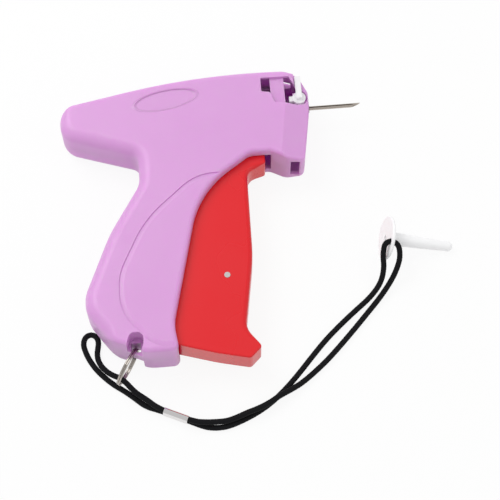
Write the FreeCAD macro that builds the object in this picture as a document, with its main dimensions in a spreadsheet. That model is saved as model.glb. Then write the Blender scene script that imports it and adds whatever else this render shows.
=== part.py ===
import FreeCAD, Part
import math
import os
import re

from FreeCAD import Placement, Rotation, Vector
from Sketcher import Constraint

# Garment tag attacher: a hand gun that pushes plastic T-ends through cloth with a hollow needle.
# Gun frame: origin where the needle axis meets the nose, +X along the needle, +Y to the gun's top,
# z = 0 on the parting plane between the two half shells. Every part is placed at the end so that
# the gun lies on its left side on z = 0, with the origin under the middle of its box.

doc = FreeCAD.newDocument("garment_tag_attacher")
sheet = doc.addObject("Spreadsheet::Sheet", "Dimensions")

SIZES = {
    # shells
    "half_width": 13.0,
    "wall": 2.2,
    "nose_half_width": 9.0,
    "bevel_start": -11.5,
    "bevel_turn": 9.4,
    "soft_radius": 6.2,
    "edge_radius": 2.4,
    "lip_radius": 2.2,
    "slot_half_width": 7.8,
    "groove_depth": 0.6,
    "groove_width": 2.6,
    "emblem_length": 32.6,
    "emblem_height": 11.0,
    "emblem_depth": 0.4,
    "emblem_x": -73.6,
    "emblem_y": 4.0,
    "emblem_tilt": 9.4,
    # trigger and its pins
    "trigger_half_width": 7.5,
    "trigger_wall": 2.2,
    "trigger_round": 2.2,
    "trigger_pivot_x": -80.0,
    "trigger_pivot_y": -120.5,
    "trigger_pin_radius": 1.8,
    "trigger_hub_radius": 4.2,
    "pivot_radius": 2.0,
    "link_pin_x": -49.4,
    "link_pin_y": -93.8,
    "link_pin_radius": 1.5,
    "link_half_width": 1.5,
    "running_gap": 0.06,
    "side_gap": 0.2,
    "squeeze_angle": 12.0,
    # drive lever
    "lever_pivot_x": -91.0,
    "lever_pivot_y": -70.0,
    "lever_foot_x": -86.0,
    "lever_foot_y": -86.0,
    "lever_half_width": 2.5,
    "clevis_half_width": 3.4,
    "hub_half_width": 5.4,
    "hub_radius": 5.0,
    "foot_pin_radius": 1.25,
    "link_eye_slack": 0.65,
    "clevis_gap_radius": 5.4,
    "lever_angle": 24.26,
    "lever_back_angle": 10.0,
    # slider and push rod
    "stud_radius": 1.6,
    "stud_slack": 0.25,
    "slider_half_height": 4.6,
    "slider_half_width": 5.5,
    "slider_tail": 5.0,
    "slider_nose": 18.3,
    "slider_fork": 10.5,
    "tab_half_height": 2.0,
    "tab_half_width": 8.4,
    "rail_thickness": 1.6,
    "rod_radius": 0.55,
    "rod_tip_x": -14.6,
    "spring_radius": 2.8,
    "spring_wire": 0.7,
    "spring_turns": 10.0,
    "guide_front_x": -28.6,
    "guide_thickness": 2.4,
    # nose: fastener channel, needle, feed and knife
    "channel_rear": -12.3,
    "channel_front": -7.7,
    "channel_half_width": 7.0,
    "channel_wall": 1.8,
    "seat_half_height": 5.5,
    "needle_radius": 1.05,
    "needle_root_radius": 1.3,
    "needle_step_x": 0.9,
    "needle_bore": 0.66,
    "needle_length": 28.2,
    "needle_slot": 0.55,
    "base_radius": 2.4,
    "base_flange_radius": 3.2,
    "base_proud": 0.7,
    "blade_thickness": 0.4,
    "blade_depth": 1.7,
    "wheel_radius": 3.8,
    "wheel_y": -7.0,
    "wheel_z": 5.2,
    "wheel_shaft": 1.5,
    "lock_x": -4.66,
    "lock_y": 1.16,
    "lock_radius": 3.4,
    "lock_floor": 7.6,
    "lock_stem": 3.0,
    "lock_reach": 11.6,
    "lock_ear": 5.2,
    # screws
    "boss_radius": 3.2,
    "screw_radius": 1.25,
    "head_radius": 2.5,
    "screw_length": 17.0,
    # strap
    "cord_radius": 1.3,
    "ring_radius": 9.6,
    "ring_wire": 0.6,
    "ring_heading": -121.5,
    "ring_lean": 6.0,
    "ring_seat": 8.6,
    "strap_web": 3.2,
    "strap_hole_half": 2.4,
    "ferrule_length": 12.4,
    "ferrule_wall": 0.45,
    "guard_flange_radius": 11.2,
    "guard_flange_thickness": 1.8,
    "guard_length": 32.6,
    "guard_root_radius": 3.5,
    "guard_tip_radius": 2.5,
    "guard_bore": 1.3,
    "guard_heading": -6.2,
    "eye_radius": 1.7,
    "eye_y": -4.9,
    "eye_z": 6.9,
}

# Corners of each outline in order, as name: (x, y, rounding radius).
OUTLINES = {
    "shell": {
        "nose_foot": (-5.2, -34.8, 3.0),
        "nose_face": (0.3, -4.0, 60.0),
        "nose_brow": (0.15, 4.8, 5.0),
        "nose_crown": (-4.6, 14.0, 2.6),
        "top_front": (-11.5, 16.7, 8.0),
        "top_crown": (-55.5, 18.5, 340.0),
        "rear_top": (-128.5, 4.3, 9.0),
        "rear_bottom": (-128.5, -11.7, 10.5),
        "throat_top": (-89.6, -25.1, 6.0),
        "throat_bottom": (-89.7, -41.1, 14.0),
        "back_bend": (-106.1, -67.7, 80.0),
        "heel_top": (-119.3, -99.5, 19.0),
        "heel_back": (-119.3, -108.5, 15.0),
        "heel_bottom": (-108.5, -124.2, 16.0),
        "base_rear": (-90.5, -132.3, 12.0),
        "base_front": (-75.2, -132.3, 3.4),
        "lip_bottom": (-76.9, -118.0, 25.0),
        "lip_bend": (-59.95, -48.1, 50.0),
        "lip_top": (-33.1, -29.5, 9.0),
        "chin_rear": (-22.3, -29.5, 5.0),
        "chin_front": (-14.0, -34.0, 6.0),
    },
    "panel": {
        "panel_top": (-38.0, -39.6, 3.4),
        "panel_shoulder": (-61.0, -39.6, 25.0),
        "panel_back": (-88.2, -63.1, 60.0),
        "panel_heel": (-102.4, -91.7, 30.0),
        "panel_low": (-102.4, -111.2, 25.0),
        "panel_foot": (-86.8, -130.4, 16.0),
        "panel_toe": (-68.0, -130.9, 3.4),
        "panel_knee": (-70.0, -112.0, 8.0),
        "panel_front": (-58.0, -62.0, 10.0),
    },
    "trigger": {
        "horn_top": (-25.2, -26.5, 1.2),
        "horn_back": (-37.0, -26.5, 2.0),
        "rear_bend": (-63.6, -46.5, 45.0),
        "rear_foot": (-82.6, -111.5, 8.0),
        "pivot_back": (-84.9, -121.5, 4.0),
        "pivot_bottom": (-81.6, -126.2, 4.0),
        "sole": (-57.0, -133.9, 100.0),
        "toe_bottom": (-41.4, -137.6, 2.4),
        "toe_tip": (-35.5, -132.0, 1.8),
        "toe_neck": (-42.4, -121.5, 9.0),
        "front_bend": (-36.0, -84.0, 80.0),
        "front_top": (-35.0, -37.7, 6.0),
        "horn_tip": (-25.2, -33.6, 1.4),
    },
    "slot": {
        "slot_foot": (-80.6, -129.9, 1.0),
        "slot_toe": (-50.0, -129.9, 1.0),
        "slot_out": (-21.9, -60.0, 1.0),
        "slot_chin": (-21.9, -25.0, 0.4),
        "slot_top": (-38.0, -25.0, 3.0),
        "slot_bend": (-63.5, -44.5, 50.0),
        "slot_rear": (-80.6, -112.0, 6.0),
    },
    "pocket": {
        "pocket_left": (-104.0, -138.0, 0.5),
        "pocket_shoulder": (-98.3, -121.8, 2.8),
        "pocket_crown": (-91.6, -121.9, 3.2),
        "pocket_right": (-92.1, -128.2, 3.0),
        "pocket_out": (-95.6, -138.0, 0.5),
    },
    "window": {
        "window_top": (-23.8, 13.0, 0.6),
        "window_low": (-24.0, 4.9, 1.0),
        "window_step": (-19.6, 4.2, 1.6),
        "window_floor": (-17.6, -2.0, 0.6),
        "window_sill": (-5.0, -3.6, 0.6),
        "window_end": (-5.6, 6.2, 0.5),
        "window_slant": (-9.1, 12.8, 0.5),
    },
}

BOSSES = {
    "tail": (-118.8, -4.0),
    "crown": (-59.5, -10.0),
    "chin": (-34.4, -16.5),
    "heel": (-110.0, -98.0),
    "foot": (-90.0, -117.2),
}

STRAP_HOLE = (-96.25, -126.35)
CORD_SIDES = 8
GUARD_PLACE = (32.4, -76.7)

# Cord routes as (x, y, height above the table), from the ferrule round and back into it.
SHORT_LOOP = [
    (-82.3, -156.58, 4.5), (-87.8, -153.97, 4.5), (-93.0, -150.0, 4.3), (-98.2, -145.0, 4.7),
    (-104.3, -138.5, 5.8), (-108.9, -133.2, 4.6), (-113.4, -127.4, 2.4), (-116.2, -121.9, 1.4),
    (-116.9, -117.4, 1.35), (-117.3, -113.0, 1.35), (-122.6, -113.6, 1.35), (-122.2, -118.8, 1.35),
    (-118.7, -123.85, 1.35), (-115.35, -129.65, 1.35), (-110.8, -135.1, 1.35), (-106.2, -141.1, 1.35),
    (-100.0, -146.9, 1.35), (-93.7, -151.2, 1.45), (-87.8, -153.97, 1.8), (-82.3, -156.58, 1.8),
]
LONG_LOOP = [
    (-76.5, -159.32, 4.5), (-71.0, -161.93, 4.5), (-65.5, -163.3, 4.4), (-58.5, -162.6, 3.2),
    (-50.5, -160.0, 1.9), (-42.0, -157.0, 3.6), (-36.0, -155.0, 4.5), (-30.5, -152.9, 4.5),
    (-25.3, -149.8, 4.0), (-19.6, -146.2, 2.3), (-12.9, -142.5, 1.4), (-5.4, -136.7, 1.35),
    (2.4, -129.5, 1.35), (10.4, -121.5, 1.35), (18.4, -113.0, 1.35), (26.0, -104.9, 1.6),
    (32.2, -98.0, 3.9), (35.7, -93.2, 8.0), (37.8, -88.2, 12.8), (36.97, -82.1, 16.8),
    (30.44, -81.39, 18.55), (28.6, -86.6, 15.2), (28.9, -92.4, 9.4), (26.6, -98.3, 4.4),
    (20.8, -104.4, 1.6), (13.3, -110.4, 1.35), (5.4, -117.0, 1.35), (-3.2, -124.7, 1.35),
    (-11.0, -133.2, 1.35), (-18.0, -141.6, 1.35), (-26.0, -149.0, 1.35), (-34.2, -155.0, 1.35),
    (-42.5, -160.4, 1.35), (-51.0, -163.9, 1.35), (-59.0, -165.9, 1.35), (-65.6, -164.7, 1.45),
    (-71.0, -161.93, 1.8), (-76.5, -159.32, 1.8),
]


# ---------------------------------------------------------------- spreadsheet and helpers

def fill_sheet():
    """Put every named size in the sheet: names in column A, values in B, aliases on B."""
    values = dict(SIZES)
    for outline in OUTLINES.values():
        for name, (x, y, radius) in outline.items():
            values[name + "_x"] = x
            values[name + "_y"] = y
            values[name + "_r"] = radius
    for name, (x, y) in BOSSES.items():
        values["boss_" + name + "_x"] = x
        values["boss_" + name + "_y"] = y
    for row, (name, value) in enumerate(values.items(), 1):
        sheet.set("A%d" % row, name)
        sheet.set("B%d" % row, str(value))
        sheet.setAlias("B%d" % row, name)
    doc.recompute()
    return set(values)


NAMES = fill_sheet()


def size(name):
    return float(getattr(sheet, name))


def formula(text):
    """Turn a formula in size names into one that reads the sheet."""
    return re.sub(r"[a-z_]+", lambda m: "Dimensions." + m.group(0) if m.group(0) in NAMES else m.group(0),
                  str(text))


def bind(item, **formulas):
    for prop, text in formulas.items():
        item.setExpression(prop.replace("__", "."), formula(text))


def move(item, x="0", y="0", z="0"):
    bind(item, Placement__Base__x=x, Placement__Base__y=y, Placement__Base__z=z)


def block(name, x, y, z):
    """Box between two formulas along each axis."""
    box = doc.addObject("Part::Box", name)
    bind(box, Length="(%s) - (%s)" % (x[1], x[0]), Width="(%s) - (%s)" % (y[1], y[0]),
         Height="(%s) - (%s)" % (z[1], z[0]))
    move(box, x[0], y[0], z[0])
    return box


def rod(name, radius, start, length, axis="Z"):
    """Cylinder from a start point along an axis."""
    cylinder = doc.addObject("Part::Cylinder", name)
    turn = {"Z": Rotation(), "X": Rotation(Vector(0, 1, 0), 90), "Y": Rotation(Vector(1, 0, 0), -90)}
    cylinder.Placement = Placement(Vector(), turn[axis])
    bind(cylinder, Radius=radius, Height=length)
    move(cylinder, *start)
    return cylinder


def fuse(name, shapes):
    joined = doc.addObject("Part::MultiFuse", name)
    joined.Shapes = shapes
    joined.Refine = True
    return joined


def cut(name, base, tools):
    tool = tools[0] if len(tools) == 1 else fuse(name + "_tools", tools)
    result = doc.addObject("Part::Cut", name)
    result.Base = base
    result.Tool = tool
    return result


def common(name, first, second):
    result = doc.addObject("Part::Common", name)
    result.Base = first
    result.Tool = second
    return result


def corner_arcs(corners):
    """For each corner: the two tangent points, and the middle of the rounding arc."""
    arcs = []
    for i, (x, y, radius) in enumerate(corners):
        corner = Vector(x, y, 0)
        before = Vector(corners[i - 1][0] - x, corners[i - 1][1] - y, 0).normalize()
        following = corners[(i + 1) % len(corners)]
        after = Vector(following[0] - x, following[1] - y, 0).normalize()
        half = before.getAngle(after) / 2
        inward = (before + after).normalize()
        reach = radius / math.tan(half)
        arcs.append((corner + before * reach, corner + after * reach,
                     corner + inward * (radius / math.sin(half) - radius)))
    return arcs


def draw_outline(sketch, outline):
    """Closed outline of lines joined by tangent arcs, every corner and radius bound to the sheet."""
    names = list(OUTLINES[outline])
    corners = [tuple(size(n + s) for s in ("_x", "_y", "_r")) for n in names]
    arcs = corner_arcs(corners)
    count = len(corners)
    geometry = []
    turns = []
    for i, (start, end, middle) in enumerate(arcs):
        leftward = (middle - start).cross(end - middle).z > 0
        turns.append(leftward)
        geometry.append(Part.Arc(start, middle, end) if leftward else Part.Arc(end, middle, start))
        geometry.append(Part.LineSegment(end, arcs[(i + 1) % count][0]))
    sketch.addGeometry(geometry, False)
    marks = sketch.addGeometry([Part.Point(Vector(x, y, 0)) for x, y, _ in corners], True)
    constraints = []
    for i, (x, y, radius) in enumerate(corners):
        arc, line, previous = 2 * i, 2 * i + 1, (2 * i - 1) % (2 * count)
        first = 1 if turns[i] else 2
        constraints += [
            Constraint("Tangent", previous, 2, arc, first),
            Constraint("Tangent", arc, 3 - first, line, 1),
            Constraint("PointOnObject", marks[i], 1, previous),
            Constraint("PointOnObject", marks[i], 1, line),
            Constraint("DistanceX", marks[i], 1, x),
            Constraint("DistanceY", marks[i], 1, y),
            Constraint("Radius", arc, radius),
        ]
    sketch.addConstraint(constraints)
    for i, name in enumerate(names):
        for offset, letter in ((4, "_x"), (5, "_y"), (6, "_r")):
            sketch.renameConstraint(7 * i + offset, name + letter)
            sketch.setExpression("Constraints." + name + letter, formula(name + letter))


def plane_of(body, role):
    return next(f for f in body.Origin.OriginFeatures if f.Role == role)


def body_sketch(body, name, role="XY_Plane"):
    sketch = body.newObject("Sketcher::SketchObject", name)
    sketch.AttachmentSupport = [(plane_of(body, role), "")]
    sketch.MapMode = "FlatFace"
    return sketch


def outline_body(name, outline, low, high):
    """Body padded from an outline between two heights."""
    body = doc.addObject("PartDesign::Body", name)
    sketch = body_sketch(body, name + "_sketch")
    bind(sketch, AttachmentOffset__Base__z=low)
    draw_outline(sketch, outline)
    pad = body.newObject("PartDesign::Pad", name + "_pad")
    pad.Profile = sketch
    bind(pad, Length="(%s) - (%s)" % (high, low))
    return body


def capsule_sketch(sketch, first, second, radius_a, radius_b):
    """Outline of two discs joined by their common tangents."""
    a, b = Vector(first[0], first[1], 0), Vector(second[0], second[1], 0)
    along = (b - a).normalize()
    side = Vector(-along.y, along.x, 0)
    lean = (radius_a - radius_b) / (b - a).Length
    rise = math.sqrt(1 - lean * lean)
    left = along * lean + side * rise
    right = along * lean - side * rise
    points = (a + left * radius_a, a - along * radius_a, a + right * radius_a,
              b + right * radius_b, b + along * radius_b, b + left * radius_b)
    edges = [Part.Arc(points[0], points[1], points[2]), Part.LineSegment(points[2], points[3]),
             Part.Arc(points[3], points[4], points[5]), Part.LineSegment(points[5], points[0])]
    sketch.addGeometry(edges, False)


def arm_body(name, stations, half_width):
    """Flat lever through a row of round stations (x, y, radius), even about the parting plane."""
    body = doc.addObject("PartDesign::Body", name)
    for i in range(len(stations) - 1):
        sketch = body_sketch(body, "%s_sketch_%d" % (name, i))
        capsule_sketch(sketch, stations[i], stations[i + 1], stations[i][2], stations[i + 1][2])
        pad = body.newObject("PartDesign::Pad", "%s_pad_%d" % (name, i))
        pad.Profile = sketch
        pad.Midplane = True
        bind(pad, Length="2 * " + half_width)
    return body


def edge_rounding(name, base, radius_at):
    """Fillet whose radius follows a function of place; radius_at gives None where there is none."""
    doc.recompute()
    fillet = doc.addObject("Part::Fillet", name)
    fillet.Base = base
    chosen = []
    for index, edge in enumerate(base.Shape.Edges, 1):
        radii = [radius_at(edge.valueAt(at)) for at in (edge.FirstParameter, edge.LastParameter)]
        if None not in radii:
            chosen.append((index, radii[0], radii[1]))
    fillet.Edges = chosen
    return fillet


PARTS = {}


def part(name, item):
    """Name a finished part and stand it on the table; one already placed is wrapped first."""
    if item.ExpressionEngine and "Placement" in str(item.ExpressionEngine) or not item.Placement.isIdentity():
        holder = doc.addObject("Part::Compound", name + "_holder")
        holder.Links = [item]
        item = holder
    item.Label = name
    bind(item, Placement__Base__x="frame_shift_x", Placement__Base__y="frame_shift_y",
         Placement__Base__z="half_width")
    PARTS[name] = item


def add_frame_shift():
    """Box of the gun without its strap, in the gun frame, gives the shift to the table origin."""
    row = len(NAMES) + 2
    shifts = {"frame_shift_x": "=(-rear_top_x - needle_length) / 2",
              "frame_shift_y": "=-(%.4f + %.4f) / 2" % (gun_low_y(), gun_top_y())}
    for offset, (name, text) in enumerate(shifts.items()):
        cell = "B%d" % (row + offset)
        sheet.set("A%d" % (row + offset), name)
        sheet.set(cell, text)
        sheet.setAlias(cell, name)
        NAMES.add(name)
    doc.recompute()


def outline_reach(outline, pick):
    """Highest or lowest y of a rounded outline."""
    corners = [tuple(size(n + s) for s in ("_x", "_y", "_r")) for n in OUTLINES[outline]]
    edges = [Part.Arc(start, middle, end).toShape() for start, end, middle in corner_arcs(corners)]
    box = Part.Compound(edges).BoundBox
    return box.YMax if pick == "top" else box.YMin


def gun_top_y():
    return outline_reach("shell", "top")


def gun_low_y():
    return outline_reach("trigger", "low")


add_frame_shift()


# ---------------------------------------------------------------- half shells

def on_side(point):
    return abs(point.z - size("half_width")) < 1e-6


def nose_slope():
    return (size("half_width") - size("nose_half_width")) / -size("bevel_start")


def nose_level(point):
    """Height of the nose's sloping side, which falls away square to the leaning nose face."""
    turn = math.radians(size("bevel_turn"))
    along = point.x * math.cos(turn) - point.y * math.sin(turn)
    return size("half_width") - nose_slope() * (along - size("bevel_start"))


def soft_edge(point):
    """Rounding along the shell's rim: generous under the tail, down the throat and the grip's back."""
    if not on_side(point):
        return None
    if point.x < -86 and -124 < point.y < -2 or point.x < -126 and point.y < 5:
        return size("soft_radius")
    if -131 < point.y < -28 and point.x > -80:
        return size("lip_radius")
    return size("edge_radius")


def nose_wedge(name, drop):
    """Everything above the nose's sloping side, lowered by a wall for the cavity."""
    body = doc.addObject("PartDesign::Body", name)
    sketch = body_sketch(body, name + "_sketch", "XZ_Plane")
    start, top, slope = size("bevel_start"), size("half_width"), nose_slope()
    points = [Vector(-150, top + slope * (150 + start), 0), Vector(10, top - slope * (10 - start), 0),
              Vector(10, 90, 0), Vector(-150, 90, 0)]
    for i, point in enumerate(points):
        sketch.addGeometry(Part.LineSegment(point, points[(i + 1) % 4]), False)
    pad = body.newObject("PartDesign::Pad", name + "_pad")
    pad.Profile = sketch
    pad.Length = 400
    pad.Midplane = True
    body.Placement = Placement(Vector(), Rotation(Vector(0, 0, 1), -size("bevel_turn")))
    move(body, z="0 - " + drop)
    return body


def grown_block(name, outline, growth, height, symmetric=False):
    """Extrusion of an outline set out (or in, if negative) by a distance."""
    sketch = doc.addObject("Sketcher::SketchObject", name + "_line")
    draw_outline(sketch, outline)
    offset = doc.addObject("Part::Offset2D", name + "_offset")
    offset.Source = sketch
    offset.Join = "Arc"
    bind(offset, Value=growth)
    solid = doc.addObject("Part::Extrusion", name)
    solid.Base = offset
    solid.DirMode = "Custom"
    solid.Dir = Vector(0, 0, 1)
    solid.Solid = True
    solid.Symmetric = symmetric
    bind(solid, LengthFwd=height)
    return solid


def hollow_body(side):
    """Inside of one half: the outline set in by the wall, with the bevel set in as well."""
    solid = grown_block(side + "_cavity_block", "shell", "0 - wall", "half_width - wall")
    deep = size("soft_radius") - size("wall")

    def radius_at(point):
        if point.z < 5:
            return None
        wide = point.x < -86 and -121 < point.y < -4 or point.x < -124
        return deep if wide else 0.6

    rounded = edge_rounding(side + "_cavity_rounded", solid, radius_at)
    return cut(side + "_cavity", rounded, [nose_wedge(side + "_inner_wedge", "wall * 1.06")])


def groove_tool(side):
    """Ramped groove round the grip panel: deep at its outer line, running out at its inner one."""
    outer = outline_body(side + "_panel_cut", "panel", "half_width - groove_depth", "half_width + 1")
    rings = []
    for word, growth, height in (("low", "0", "half_width - groove_depth"),
                                 ("high", "0 - groove_width", "half_width + 0.002")):
        sketch = doc.addObject("Sketcher::SketchObject", side + "_panel_" + word)
        draw_outline(sketch, "panel")
        if growth != "0":
            inset = doc.addObject("Part::Offset2D", side + "_panel_inset")
            inset.Source = sketch
            inset.Join = "Arc"
            bind(inset, Value=growth)
            sketch = inset
        move(sketch, z=height)
        rings.append(sketch)
    island = doc.addObject("Part::Loft", side + "_panel_island")
    island.Sections = rings
    island.Solid = True
    island.Ruled = True
    return cut(side + "_groove", outer, [island])


def emblem_tool(side):
    """Bare oval recess on the side of the head."""
    tool = doc.addObject("Part::Ellipse", side + "_emblem_line")
    bind(tool, MajorRadius="emblem_length / 2", MinorRadius="emblem_height / 2")
    tool.Placement = Placement(Vector(size("emblem_x"), size("emblem_y"), 0),
                               Rotation(Vector(0, 0, 1), size("emblem_tilt")))
    move(tool, "emblem_x", "emblem_y", "half_width - emblem_depth")
    solid = doc.addObject("Part::Extrusion", side + "_emblem")
    solid.Base = tool
    solid.DirMode = "Custom"
    solid.Dir = Vector(0, 0, 1)
    solid.Solid = True
    solid.LengthFwd = 2
    return solid


def strap_mount(side, outer):
    """Arched pocket in the foot of the grip, with a web across its middle and the ring's hole in it."""
    solid = grown_block(side + "_pocket_around", "pocket", "wall - 0.4", "half_width - wall + 0.2")
    wall_body = common(side + "_pocket_wall", solid, outer)
    pocket = outline_body(side + "_pocket", "pocket", "strap_web", "half_width + 1")
    spans = [("%.2f - strap_hole_half" % place, "%.2f + strap_hole_half" % place) for place in STRAP_HOLE]
    hole = block(side + "_strap_hole", spans[0], spans[1], ("-1", "strap_web + 1"))
    return wall_body, [pocket, hole]


def screw_boss(side, name, holes):
    x, y = "boss_%s_x" % name, "boss_%s_y" % name
    boss = rod("%s_boss_%s" % (side, name), "boss_radius", (x, y, "0"), "half_width - wall + 0.2")
    if side == "right":
        holes.append(rod("right_pilot_" + name, "screw_radius + 0.05", (x, y, "-1"), "half_width - 3"))
    else:
        holes.append(rod("left_bore_" + name, "screw_radius + 0.15", (x, y, "-1"), "half_width + 2"))
        holes.append(rod("left_sink_" + name, "head_radius + 0.2", (x, y, "half_width - 3.6"), "5"))
    return boss


def half_shell(side):
    outline = outline_body(side + "_block", "shell", "0", "half_width")
    block_rounded = edge_rounding(side + "_rounded", outline,
                                  soft_edge)
    tilted = cut(side + "_tilted", outline_body(side + "_tall", "shell", "0", "90"),
                 [nose_wedge(side + "_nose_wedge", "0")])

    def nose_edge(point):
        return 1.4 if abs(point.z - nose_level(point)) < 1e-4 else None

    outer = common(side + "_outer", block_rounded, edge_rounding(side + "_tilted_rounded", tilted, nose_edge))
    hollow = cut(side + "_hollow", outer, [hollow_body(side)])
    deep = "half_width - wall + 0.2"
    ribs = []
    holes = []
    for name in BOSSES:
        ribs.append(screw_boss(side, name, holes))
    # bearing bosses of the trigger and the drive lever
    boss = rod(side + "_trigger_boss", "trigger_pin_radius + 1.9", ("trigger_pivot_x", "trigger_pivot_y",
               "slot_half_width"), "half_width - slot_half_width - 1")
    ribs.append(common(side + "_trigger_bearing", boss, outer))
    holes.append(rod(side + "_trigger_bore", "trigger_pin_radius + 0.02", ("trigger_pivot_x",
                     "trigger_pivot_y", "0"), "half_width - 2"))
    ribs.append(rod(side + "_lever_boss", "pivot_radius + 1.8", ("lever_pivot_x", "lever_pivot_y",
                    "hub_half_width + side_gap"), "half_width - hub_half_width - side_gap - 1"))
    holes.append(rod(side + "_lever_bore", "pivot_radius + 0.02", ("lever_pivot_x", "lever_pivot_y",
                     "0"), "half_width - 2"))
    # rails the slider's tabs run between
    for sign, word in (("", "over"), ("-", "under")):
        low, high = "tab_half_height + side_gap", "tab_half_height + side_gap + rail_thickness"
        span = (low, high) if sign == "" else ("-(%s)" % high, "-(%s)" % low)
        ribs.append(block("%s_rail_%s" % (side, word), ("-112", "-46"), span,
                          ("slider_half_width + side_gap + 0.4", deep)))
    # guide rib, channel wall and needle seat in the nose, grooved for the rod and the needle base
    ribs.append(block(side + "_guide", ("guide_front_x - guide_thickness", "guide_front_x"), ("-6", "6"),
                      ("0", deep)))
    top = "12.8" if side == "left" else "-4.2"
    ribs.append(block(side + "_channel_wall", ("channel_rear - channel_wall", "channel_rear"),
                      ("-31.5", top), ("0", deep if side == "left" else "9.6")))
    ribs.append(block(side + "_seat", ("channel_front", "-1.2"), ("-9.6", "seat_half_height"),
                      ("0", "8.2" if side == "left" else "lock_floor - 0.1")))
    holes.append(rod(side + "_rod_bore", "rod_radius + 0.15", ("-36", "0", "0"), "24", "X"))
    holes.append(rod(side + "_base_bore", "base_radius + 0.03", ("channel_front - 0.1", "0", "0"), "12", "X"))
    holes.append(rod(side + "_flange_groove", "base_flange_radius + 0.05", ("-5.65", "0", "0"), "1.3", "X"))
    # slots for the trigger and for the spent rail of fasteners
    slot = outline_body(side + "_slot", "slot", "-1", "slot_half_width")
    spent = block(side + "_spent_slot", ("channel_rear", "channel_front"), ("-42", "-29"),
                  ("-1", "channel_half_width"))
    pocket_wall, pocket_holes = strap_mount(side, outer)
    ribs.append(pocket_wall)
    holes += pocket_holes + [slot, spent, groove_tool(side), emblem_tool(side)]
    if side == "right":
        ribs += window_ribs()
        first = cut("right_windowed", hollow, [window_tool()])
        holes += lock_well()
        holes.append(block("right_load_slot", ("channel_rear", "channel_front"), ("12", "20"), ("-1", "4.6")))
        return cut("right_half", fuse("right_ribbed", [first] + ribs), holes)
    ribs += left_nose_ribs(deep)
    holes += left_nose_holes()
    whole = cut("left_raw", fuse("left_ribbed", [hollow] + ribs), holes)
    mirrored = doc.addObject("Part::Mirroring", "left_half")
    mirrored.Source = whole
    mirrored.Normal = Vector(0, 0, 1)
    return mirrored


def window_tool():
    """Opening in the right side of the head over the fastener channel."""
    return outline_body("right_window", "window", "5", "half_width + 2")


def window_ribs():
    """Sunk strap of shell that bridges the window, leaning inward to its foot."""
    body = doc.addObject("PartDesign::Body", "right_bridge")
    sketch = body_sketch(body, "right_bridge_sketch", "YZ_Plane")
    points = [Vector(15.2, 11.6, 0), Vector(15.2, 9.8, 0), Vector(-5.5, 8.2, 0), Vector(-5.5, 11.0, 0),
              Vector(-3.0, 11.0, 0), Vector(-3.0, 10.0, 0)]
    for i, point in enumerate(points):
        sketch.addGeometry(Part.LineSegment(point, points[(i + 1) % len(points)]), False)
    pad = body.newObject("PartDesign::Pad", "right_bridge_pad")
    pad.Profile = sketch
    pad.Length = 7.2
    move(body, "-19.1")
    return [body]


def lock_well():
    """Round well and open slot that the needle lock turns in."""
    well = rod("right_lock_well", "lock_radius + 0.9", ("lock_x", "lock_y", "lock_floor - 0.1"), "8")
    slot = block("right_lock_slot", ("lock_x - lock_stem / 2 - 0.5", "lock_x + 8"),
                 ("lock_y - lock_stem / 2 - 0.5", "20"), ("9.8", "half_width + 1"))
    sweep = rod("right_ear_sweep", "lock_ear + 0.7", ("lock_x", "lock_y", "lock_floor - 0.1"), "2.5")
    quarter = block("right_ear_quarter", ("lock_x - 9", "lock_x + 1.8"), ("lock_y - 2.2", "lock_y + 9"),
                    ("lock_floor - 0.1", "lock_floor + 2.4"))
    bore = rod("right_lock_bore", "1.5 + running_gap", ("lock_x", "lock_y", "lock_floor - 4"), "8")
    return [well, slot, common("right_ear_pocket", sweep, quarter), bore]


def left_nose_ribs(deep):
    """Ledges behind the window and the bearings of the feed wheel."""
    shelf = block("left_shelf", ("-26", "-3"), ("12.9", "14.6"), ("0", deep))
    sill = block("left_sill", ("channel_rear - 0.4", "channel_front + 0.4"), ("7.2", "8"), ("5", "9.4"))
    rear = block("left_wheel_rib", ("-21.6", "-19.8"), ("wheel_y - 3", "wheel_y + 3"), ("2", deep))
    clamp = block("left_pawl_block", ("-18.9", "-16.1"), ("6.4", "9.4"), ("6.8", deep))
    return [shelf, sill, rear, clamp]


def left_nose_holes():
    """Drop-in bearings of the feed wheel, knife slot and pawl slot."""
    holes = []
    for word, low, high in (("rear", "-21.7", "-19.7"), ("wall", "channel_rear - channel_wall - 0.1",
                            "channel_rear + 0.1"), ("seat", "channel_front - 0.1", "-5.5")):
        holes.append(rod("left_wheel_bore_" + word, "wheel_shaft + running_gap",
                         (low, "wheel_y", "wheel_z"), "(%s) - (%s)" % (high, low), "X"))
        holes.append(block("left_wheel_drop_" + word, (low, high),
                           ("wheel_y - wheel_shaft - running_gap", "wheel_y + wheel_shaft + running_gap"),
                           ("-1", "wheel_z")))
    holes.append(block("left_knife_slot", ("channel_front - 0.1", "-2.9"), ("-2.85", "2.85"),
                       ("blade_depth - 0.05", "blade_depth + blade_thickness + 0.05")))
    holes.append(block("left_pawl_slot", ("-18.5", "-16.5"), ("6", "10"), ("8.1", "8.6")))
    return holes


# ---------------------------------------------------------------- trigger, link and lever

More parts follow.
